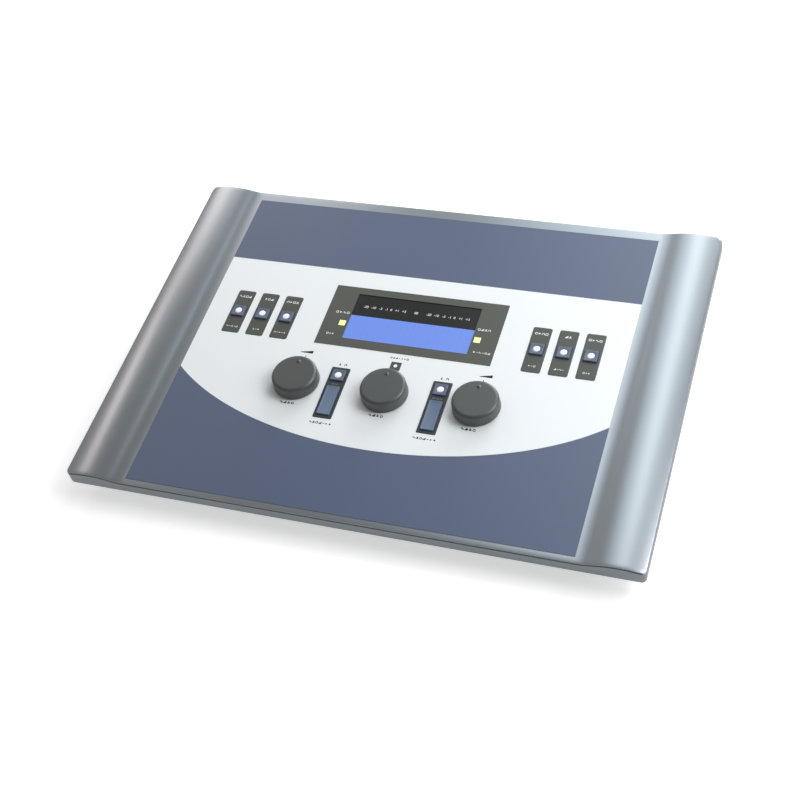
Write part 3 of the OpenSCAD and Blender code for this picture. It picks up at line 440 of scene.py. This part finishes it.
def tray():
    """The tray as one skin, swept round the deck's outline."""
    base = []
    hw, hd, r = DECK_W / 2, DECK_D / 2, 3.0
    wing = sorted([FOOT_X] + [FOOT_X + i * (DECK_W / 2 - r - FOOT_X) / 24 for i in range(1, 25)])
    front = [-x for x in reversed(wing)] + [-100, -50, 0, 50, 100] + wing
    for x in front:
        base.append((x, -hd + r, 0, -1))
    for a in range(-80, 0, 10):
        base.append((hw - r, -hd + r, math.cos(math.radians(a)), math.sin(math.radians(a))))
    for i in range(13):
        base.append((hw - r, -hd + r + (2 * hd - 2 * r) * i / 12, 1, 0))
    for a in range(10, 90, 10):
        base.append((hw - r, hd - r, math.cos(math.radians(a)), math.sin(math.radians(a))))
    for x in reversed(front):
        base.append((x, hd - r, 0, 1))
    for a in range(100, 180, 10):
        base.append((-hw + r, hd - r, math.cos(math.radians(a)), math.sin(math.radians(a))))
    for i in range(13):
        base.append((-hw + r, hd - r - (2 * hd - 2 * r) * i / 12, -1, 0))
    for a in range(190, 270, 10):
        base.append((-hw + r, -hd + r, math.cos(math.radians(a)), math.sin(math.radians(a))))

    def ring(inset, height):
        """The outline moved in by inset, at height(x)."""
        out = []
        for x, v, nx, nv in base:
            px, pv = x + nx * (r - inset), v + nv * (r - inset)
            out.append((px, pv, height(px)))
        return out

    def opening(z):
        """The edge of the opening in the floor, at height z."""
        return [(max(-OPEN_X, min(OPEN_X, x + nx * r)),
                 max(OPEN_FRONT, min(OPEN_REAR, v + nv * r)), z)
                for x, v, nx, nv in base]

    low, wall = 1.0, 2.2
    rings = [opening(TRAY_FLOOR_Z), opening(-DECK_T)]
    rings.append(ring(low + 0.6, lambda x: -DECK_T))
    for a in range(0, 91, 15):
        c, s = math.cos(math.radians(a)), math.sin(math.radians(a))
        rings.append(ring(low - low * s, lambda x, c=c: -DECK_T + low - low * c))
    gap = PANEL_T + GROOVE_H
    for inset, drop in ((0.0, 0.25), (0.08, 0.08), (0.25, 0.0)):
        rings.append(ring(inset, lambda x, drop=drop: wing_z(x) - gap - drop))
    rings.append(ring(GROOVE_IN, lambda x: wing_z(x) - gap))
    rings.append(ring(GROOVE_IN, lambda x: wing_z(x) - PANEL_T - 0.02))
    rings.append(ring(wall, lambda x: wing_z(x) - PANEL_T - 0.02))
    rings.append(ring(wall, lambda x: TRAY_FLOOR_Z))
    rings.append(rings[0])
    loft("tray_skin", rings, TRAY, "case", ["deck_tray"], closed=False)


tray()


# ---- Button plates and key frames ----

for side, x in PLATES.items():
    slab("plate_" + side, PLATE, ["button_plates"], (x, PLATE_V),
         (PLATE_W, PLATE_D), [(x, PLATE_V, CAP_HOLE, CAP_HOLE)],
         lambda x: PLATE_T, lambda x: 0.0, corner=1.3, edge=0.15, step=3.0)
for side, s in (("left", -1), ("right", 1)):
    x = s * KEY_X
    slab("frame_" + side, FRAME, ["key_frame_" + side], (x, FRAME_V),
         (FRAME_W, FRAME_D),
         [(x, TALK_V, CAP_HOLE, CAP_HOLE), (x, KEY_V, KEY_W + CAP_GAP, KEY_D + CAP_GAP)],
         lambda x: FRAME_T, lambda x: 0.0, corner=0.7, edge=0.25, step=3.0)


# ---- Caps, lenses and keys ----

def block_rings(x, v, w, d, r, z_low, z_high, edge):
    """Rings up the side of a block and over its rounded upper edge."""
    out = [[(x + a, v + b, z_low) for a, b in rounded(w, d, r)]]
    for a in (0, 22.5, 45, 67.5, 90):
        c, s = math.cos(math.radians(a)), math.sin(math.radians(a))
        k = edge * (1 - c)
        out.append([(x + p, v + q, z_high - edge + edge * s)
                    for p, q in rounded(w - 2 * k, d - 2 * k, r - k)])
    return out


def radial(outline, x, v, r, z):
    """The ring of a circle whose points lie at the outline's own angles."""
    return [(x + r * math.cos(math.atan2(b, a)), v + r * math.sin(math.atan2(b, a)), z)
            for a, b in outline]


def circle(x, v, r, z, n):
    """A ring of n points on a circle."""
    return [(x + r * math.cos(2 * math.pi * i / n), v + r * math.sin(2 * math.pi * i / n), z)
            for i in range(n)]


def skirt_rings(x, v, w, d):
    """The keeping flange and stem under a cap, from the stem's end up."""
    ref = rounded(w, d, CAP_CORNER)
    out = [radial(ref, x, v, STEM_R, z) for z in (STEM_LOW, FLANGE_LOW)]
    out += [[(x + a, v + b, z) for a, b in rounded(w + 2 * FLANGE, d + 2 * FLANGE, CAP_CORNER)]
            for z in (FLANGE_LOW, FLANGE_TOP)]
    return out


def lit_cap(name, x, v, body, node, lens_node):
    """A square cap with a sunk ring round its lens, and the domed lens."""
    outline = rounded(CAP, CAP, CAP_CORNER)
    rings = skirt_rings(x, v, CAP, CAP)
    rings += block_rings(x, v, CAP, CAP, CAP_CORNER, FLANGE_TOP, CAP_TOP, 0.45)
    flat = rounded(CAP - 1.6, CAP - 1.6, 0.3)
    rings.append([(x + a, v + b, CAP_TOP - 0.01) for a, b in flat])
    for r, z in ((3.1, 1.70), (2.75, 1.62), (2.42, 1.56),
                 (LENS_R, 1.5), (LENS_R, LENS_SEAT), (1.0, LENS_SEAT)):
        rings.append(radial(outline, x, v, r, z))
    loft("cap_" + name, rings, CAPS, body, [node], sharp=40)
    rings = [circle(x, v, r, z, 40) for r, z in
             ((2.35, LENS_SEAT), (2.35, 1.55), (2.2, 1.70), (1.9, 1.79), (1.4, 1.86),
              (0.8, 1.89), (0.25, 1.9))]
    loft("dot_" + name, rings, LENS, body, [lens_node], sharp=50)


for side, x in PLATES.items():
    lit_cap(side, x, PLATE_V, "button_" + side, "button_" + side, "lens_" + side)
for side, s in (("left", -1), ("right", 1)):
    lit_cap("talk_" + side, s * KEY_X, TALK_V, "talk_" + side, "talk_button_" + side,
            "talk_lens_" + side)
    x = s * KEY_X
    rings = skirt_rings(x, KEY_V, KEY_W, KEY_D)
    rings += block_rings(x, KEY_V, KEY_W, KEY_D, CAP_CORNER, FLANGE_TOP, CAP_TOP, 0.4)
    for k, z in ((0.75, CAP_TOP), (0.95, 1.66), (1.2, 1.6)):
        rings.append([(x + a, KEY_V + b, z)
                      for a, b in rounded(KEY_W - 2 * k, KEY_D - 2 * k, 0.3)])
    loft("key_" + side, rings, KEYS, "present_" + side, ["present_key_" + side],
         sharp=40)


# ---- Knobs ----

def knob(side, x):
    """A soft-edged turning knob with a raised dot at twelve o'clock, dark on top.

    The rings are close together, and so are the angles, where the dot is.
    """
    angles = [i * 360 / 96 for i in range(96)] + [90 + i * 0.75 for i in range(-13, 14) if i % 5]
    angles = sorted(set(round(a, 3) for a in angles))
    low, shoulder, taper = 1.1, KNOB_TOP - KNOB_EDGE, 0.4
    profile = [(13.6, 7.6), (13.6, 1.0), (13.8, 0.8), (15.5, 0.8), (15.72, 0.88), (KNOB_R, low)]
    profile += [(KNOB_R - taper * (z - low) / (shoulder - low), z)
                for z in (2.5, 4.0, 5.5, shoulder)]
    for a in range(10, 91, 10):
        c, s = math.cos(math.radians(a)), math.sin(math.radians(a))
        profile.append((KNOB_R - taper - KNOB_EDGE * (1 - c), shoulder + KNOB_EDGE * s))
    flat = [12.2, 11.4] + [round(11.1 - 0.2 * i, 1) for i in range(16)] + [7.6, 6.0, 3.5, 1.0]
    top_row = len(profile)
    profile += [(r, KNOB_TOP) for r in flat]
    level = math.sqrt(DOT_BALL ** 2 - DOT_R ** 2)
    rings = []
    for row, (r, z) in enumerate(profile):
        ring = []
        for a in angles:
            px, pv = r * math.cos(math.radians(a)), r * math.sin(math.radians(a))
            d = math.hypot(px, pv - DOT_V)
            raised = row >= top_row and d < DOT_R
            rise = math.sqrt(DOT_BALL ** 2 - d ** 2) - level if raised else 0.0
            ring.append((x + px, KNOB_V + pv, z + rise))
        rings.append(ring)
    loft("dial_" + side, rings, KNOB, "knob_" + side, ["knob_" + side], sharp=28)
    v, mark_r, proud = KNOB_V + DOT_V, 0.85, 0.015
    rings = [circle(x, v, mark_r, KNOB_TOP - 0.1, 24)]
    for r in (mark_r, 0.65, 0.4, 0.15):
        z = KNOB_TOP + proud + math.sqrt(DOT_BALL ** 2 - r * r) - level
        rings.append(circle(x, v, r, z, 24))
    loft("mark_" + side, rings, FRAME, "knob_" + side, sharp=50)


for side, x in KNOBS.items():
    knob(side, x)


# ---- Printed marks: ticks, wedges, plain numbers and small pictograms ----

class Marks:
    """Collects flat shapes and makes them one thin printed piece.

    z: the height it lies at, weight: the pictograms' stroke as a share of
    their height.
    """

    def __init__(self, z, weight=0.22):
        self.z, self.weight, self.verts, self.faces = z, weight, [], []

    def shape(self, points):
        """A flat plate with this outline."""
        n, base = len(points), len(self.verts)
        self.verts += [(x, v, self.z) for x, v in points]
        self.verts += [(x, v, self.z + MARK_T) for x, v in points]
        self.faces.append(tuple(base + n + i for i in range(n)))
        self.faces.append(tuple(base + i for i in reversed(range(n))))
        for i in range(n):
            j = (i + 1) % n
            self.faces.append((base + i, base + j, base + n + j, base + n + i))

    def bar(self, x0, v0, x1, v1, w):
        """A straight stroke of width w between two places."""
        dx, dv = x1 - x0, v1 - v0
        k = w / 2 / max(math.hypot(dx, dv), 1e-6)
        px, pv = -dv * k, dx * k
        self.shape([(x0 - px, v0 - pv), (x1 - px, v1 - pv),
                    (x1 + px, v1 + pv), (x0 + px, v0 + pv)])

    def path(self, points, w):
        """Strokes of width w from each place to the next."""
        for (x0, v0), (x1, v1) in zip(points, points[1:]):
            self.bar(x0, v0, x1, v1, w)

    def disc(self, x, v, r):
        """A filled circle."""
        self.shape([point[:2] for point in circle(x, v, r, 0.0, 14)])

    def ring(self, x, v, r, w, a0=0, a1=360, n=14):
        """A circle drawn with a stroke of width w, from angle a0 to a1."""
        pts = [(x + r * math.cos(math.radians(a0 + (a1 - a0) * i / n)),
                v + r * math.sin(math.radians(a0 + (a1 - a0) * i / n))) for i in range(n + 1)]
        self.path(pts, w)

    def icon(self, kind, x, v, s):
        """One pictogram of height s about a place."""
        h, w = s / 2, s * self.weight
        if kind == "wave":
            self.path([(x - h + s * i / 10, v + h * 0.7 * math.sin(2 * math.pi * i / 10))
                       for i in range(11)], w)
        elif kind == "bars":
            for i in range(4):
                at, top = x - h + s * (0.12 + 0.25 * i), -h + s * (0.4 + 0.2 * i)
                self.bar(at, v - h, at, v + top, w)
        elif kind == "ring":
            self.ring(x, v, h * 0.85, w)
        elif kind == "dot":
            self.disc(x, v, h * 0.75)
        elif kind == "tri":
            self.shape([(x - h * 0.8, v - h * 0.8), (x + h * 0.9, v), (x - h * 0.8, v + h * 0.8)])
        elif kind == "box":
            signs = ((-1, -1), (1, -1), (1, 1), (-1, 1), (-1, -1))
            self.path([(x + a * h * 0.8, v + b * h * 0.8) for a, b in signs], w)
        elif kind == "phones":
            self.ring(x, v - h * 0.15, h * 0.8, w, 0, 180)
            for a, b in ((x - h, x - h * 0.55), (x + h * 0.55, x + h)):
                self.shape([(a, v - h * 0.9), (b, v - h * 0.9), (b, v), (a, v)])
        elif kind == "mic":
            self.shape([(x - h * 0.3, v - h * 0.1), (x + h * 0.3, v - h * 0.1),
                        (x + h * 0.3, v + h), (x - h * 0.3, v + h)])
            self.ring(x, v, h * 0.6, w * 0.8, 180, 360)
            self.bar(x, v - h * 0.6, x, v - h, w)
        elif kind == "cross":
            self.bar(x - h * 0.8, v, x + h * 0.8, v, w)
            self.bar(x, v - h * 0.8, x, v + h * 0.8, w)
        elif kind == "dash":
            self.bar(x - h * 0.8, v, x + h * 0.8, v, w)
        elif kind == "step":
            turns = ((-1, -0.7), (-0.3, -0.7), (-0.3, 0.7), (0.3, 0.7), (0.3, -0.7), (1, -0.7))
            self.path([(x + a * h, v + b * h) for a, b in turns], w)

    def row(self, kinds, x, v, s, pitch):
        """Pictograms of height s in a row about a place."""
        for i, kind in enumerate(kinds):
            self.icon(kind, x + (i - (len(kinds) - 1) / 2) * pitch, v, s)

    def number(self, text, x, v, size):
        """A plain number in the built-in font, as flat outlines."""
        curve = bpy.data.curves.new("number", "FONT")
        curve.body, curve.size, curve.align_x, curve.align_y = text, size, "CENTER", "CENTER"
        curve.offset = size * 0.006
        temp = bpy.data.objects.new("number", curve)
        scene.collection.objects.link(temp)
        bpy.context.view_layer.update()
        graph = bpy.context.evaluated_depsgraph_get()
        mesh = bpy.data.meshes.new_from_object(temp.evaluated_get(graph))
        base = len(self.verts)
        self.verts += [(x + p.co.x, v + p.co.y, self.z + MARK_T) for p in mesh.vertices]
        self.faces += [tuple(base + i for i in poly.vertices) for poly in mesh.polygons]
        bpy.data.objects.remove(temp)
        bpy.data.curves.remove(curve)
        bpy.data.meshes.remove(mesh)

    def make(self, name, mat):
        """The collected shapes as one piece on the case."""
        return add(name, self.verts, self.faces, mat, "case")


# Each row stands where the photograph has a caption: its middle, height and pitch
on_plates = Marks(PLATE_T + MARK_GAP)
captions = {
    "left_outer": (("wave", "step", "box", "bars"), ("wave", "dash", "step", "dash", "ring")),
    "left_middle": (("mic", "ring", "bars"), ("mic", "dash", "dot")),
    "left_inner": (("phones", "tri", "box", "step"), ("phones", "dash", "tri", "dash", "mic")),
    "right_inner": (("ring", "tri", "phones", "box"), ("tri", "dash", "ring")),
    "right_middle": (("bars", "step"), ("bars", "dash", "wave", "dash")),
    "right_outer": (("box", "tri", "wave", "ring"), ("box", "cross", "tri")),
}
for side, x in PLATES.items():
    upper, lower = captions[side]
    on_plates.row(upper, x, 32.2, 1.95, 2.35)
    on_plates.row(lower, x, 4.7, 1.45, 1.75)
on_plates.make("marks_plates", INK_WHITE)

BEZEL_TOP, WINDOW_TOP = 0.45, -0.05
on_bezel = Marks(BEZEL_TOP + MARK_GAP)
on_bezel.row(("box", "tri", "wave", "ring"), -50.5, 29.2, 1.9, 2.6)
on_bezel.row(("box", "cross", "tri"), -53.3, 9.7, 1.6, 2.0)
on_bezel.row(("ring", "bars", "step", "phones"), 50.5, 29.2, 1.9, 2.4)
on_bezel.row(("dot", "dash", "wave", "dash", "ring", "bars"), 53.5, 9.9, 1.6, 2.05)
on_bezel.make("marks_bezel", INK_WHITE)

scale = Marks(WINDOW_TOP + MARK_GAP)
LEVELS = {"-20": -13.5, "-10": -8.1, "-3": -2.8, "-1": 1.45, "0": 4.7, "+1": 9.0, "+3": 14.0}
SCALE_V, SCALE_SIZE = 36.7, 2.75
for centre in (-22.5, 22.75):
    for text, at in LEVELS.items():
        scale.number(text, centre + at, SCALE_V, SCALE_SIZE)
scale.number("dB", 0.2, SCALE_V, SCALE_SIZE)
scale.make("scale_numbers", INK_WHITE)

on_frames = Marks(FRAME_T + MARK_GAP)
on_frames.row(("dot", "dash", "tri"), -KEY_X, -31.9, 1.2, 1.5)
on_frames.row(("ring", "dash", "step", "dash", "tri"), KEY_X, -31.9, 1.2, 1.4)
on_frames.make("marks_frames", INK_SOFT)

on_field = Marks(FILM_T + MARK_GAP, 0.3)
for x0, x1 in ((-67.7, -59.4), (58.1, 66.0)):
    on_field.shape([(x0 - 0.6, -9.35), (x1, -9.45), (x1, -6.95), (x0 - 0.6, -8.95)])
for x in KNOBS.values():
    on_field.bar(x - 1.2, -15.5, x - 1.2, -11.6, 0.45)
for x in KNOBS.values():
    on_field.row(("wave", "bars", "step", "ring"), x - 0.6, -51.8, 1.9, 2.6)
for s in (-1, 1):
    on_field.row(("mic", "phones"), s * KEY_X, -15.1, 1.9, 3.9)
    on_field.row(("wave", "step", "ring", "bars", "dash", "tri", "dot"),
                 s * KEY_X + 0.4, -63.9, 1.7, 2.25)
on_field.row(("ring", "step", "bars", "dash", "cross", "tri", "box"), 0.8, -3.6, 1.35, 1.9)
on_field.make("marks_field", INK_DARK)


# ---- Floor, backdrop and light ----

FLOOR_LIFT, FLOOR_HALF = 0.54, 8.0
AIM = Vector((0, 0, 0.05))
AMBIENT = 0.05


def floor():
    """A plain pale floor: lifted to white for the camera, and it keeps the shadow."""
    mat = bpy.data.materials.new("floor_pale")
    mat.use_nodes = True
    mat.cycles.emission_sampling = "NONE"
    nodes, links = mat.node_tree.nodes, mat.node_tree.links
    bsdf = nodes["Principled BSDF"]
    bsdf.inputs["Roughness"].default_value = 0.9
    bsdf.inputs["Specular IOR Level"].default_value = 0.1
    noise = nodes.new("ShaderNodeTexNoise")
    noise.inputs["Scale"].default_value = 3.0
    ramp = nodes.new("ShaderNodeMapRange")
    ramp.inputs["To Min"].default_value = 0.80
    ramp.inputs["To Max"].default_value = 0.82
    links.new(noise.outputs["Fac"], ramp.inputs["Value"])
    links.new(ramp.outputs["Result"], bsdf.inputs["Base Color"])
    path = nodes.new("ShaderNodeLightPath")
    one = nodes.new("ShaderNodeMath")
    one.operation = "MAXIMUM"
    links.new(path.outputs["Is Camera Ray"], one.inputs[0])
    two = nodes.new("ShaderNodeMath")
    two.operation = "MAXIMUM"
    links.new(path.outputs["Is Glossy Ray"], two.inputs[0])
    links.new(path.outputs["Is Transmission Ray"], two.inputs[1])
    links.new(two.outputs[0], one.inputs[1])
    lift = nodes.new("ShaderNodeMath")
    lift.operation = "MULTIPLY"
    lift.inputs[1].default_value = FLOOR_LIFT
    links.new(one.outputs[0], lift.inputs[0])
    bsdf.inputs["Emission Color"].default_value = (1, 1, 1, 1)
    links.new(lift.outputs[0], bsdf.inputs["Emission Strength"])
    mesh = bpy.data.meshes.new("floor")
    r = FLOOR_HALF
    mesh.from_pydata([(-r, -r, 0), (r, -r, 0), (r, r, 0), (-r, r, 0)], [], [(0, 1, 2, 3)])
    mesh.materials.append(mat)
    obj = bpy.data.objects.new("floor", mesh)
    scene.collection.objects.link(obj)


def lamp(name, centre, away, size, power, color=(1, 1, 1)):
    """A soft rectangle of light; away points from the object to it."""
    data = bpy.data.lights.new(name, "AREA")
    data.shape = "RECTANGLE"
    data.size, data.size_y = size
    data.energy = power
    data.color = color
    obj = bpy.data.objects.new(name, data)
    scene.collection.objects.link(obj)
    z = Vector(away).normalized()
    y = (Vector((0, 0, 1)) - z * z.z).normalized()
    obj.matrix_world = Matrix.Translation(centre) @ Matrix((y.cross(z), y, z)).transposed().to_4x4()


def box(name, direction, distance, size, power, color=(1, 1, 1)):
    """A square soft box, aimed at the deck."""
    d = Vector(direction).normalized()
    lamp(name, AIM + d * distance, d, (size, size), power, color)


SCREEN_RISE = math.radians(52)
SCREEN = Vector((0, math.cos(SCREEN_RISE), math.sin(SCREEN_RISE)))


def strip(name, x0, x1, rise, height, level, color=(1, 1, 1)):
    """A band of light on a screen 1 m behind and above the deck, mirrored by the wings."""
    up = Vector((0, -SCREEN.z, SCREEN.y))
    centre = Vector(((x0 + x1) / 2, 0, 0)) + AIM + SCREEN + up * rise
    lamp(name, centre, SCREEN, (x1 - x0, height), level * math.pi * (x1 - x0) * height, color)


def world():
    """A pale surround, brighter to the left and in front."""
    w = bpy.data.worlds.new("surround")
    scene.world = w
    w.use_nodes = True
    nodes, links = w.node_tree.nodes, w.node_tree.links
    coord = nodes.new("ShaderNodeTexCoord")
    split = nodes.new("ShaderNodeSeparateXYZ")
    links.new(coord.outputs["Generated"], split.inputs[0])
    total = None
    for axis, level in (("X", 0.28), ("Y", 0.12)):
        part = nodes.new("ShaderNodeMapRange")
        part.inputs["From Min"].default_value = 0.0
        part.inputs["From Max"].default_value = -1.0
        part.inputs["To Min"].default_value = AMBIENT
        part.inputs["To Max"].default_value = AMBIENT + level
        links.new(split.outputs[axis], part.inputs["Value"])
        if total is None:
            total = part.outputs["Result"]
        else:
            both = nodes.new("ShaderNodeMath")
            links.new(total, both.inputs[0])
            links.new(part.outputs["Result"], both.inputs[1])
            total = both.outputs[0]
    back = nodes["Background"]
    links.new(total, back.inputs["Strength"])
    back.inputs["Color"].default_value = (1.0, 0.99, 0.96, 1)


floor()
world()
strip("right_near", -0.20, 0.0, 0.06, 0.88, 1.25, (0.84, 0.92, 1.0))
strip("right_core", 0.0, 0.20, 0.06, 0.88, 2.6, (0.97, 1.0, 0.98))
strip("right_far", 0.20, 0.40, 0.06, 0.88, 0.9, (0.82, 0.93, 1.0))
strip("middle_low", -0.54, -0.40, -0.22, 0.44, 1.9, (0.92, 0.96, 1.0))
strip("left_low", -0.92, -0.58, -0.22, 0.44, 2.6, (1.0, 0.9, 0.87))
strip("left_high", -1.02, -0.92, 0.22, 0.44, 5.5, (1.0, 0.84, 0.78))
box("right_top", (0.8, 0.1, 1.0), 1.2, 0.6, 5.5, (0.98, 0.96, 1.0))
box("right", (1.0, 0.1, 0.6), 1.5, 0.9, 9.0, (0.97, 1.0, 0.99))
box("rear", (0.2, 1.0, 0.35), 1.5, 0.9, 14.0)

scene.view_settings.view_transform = "Standard"
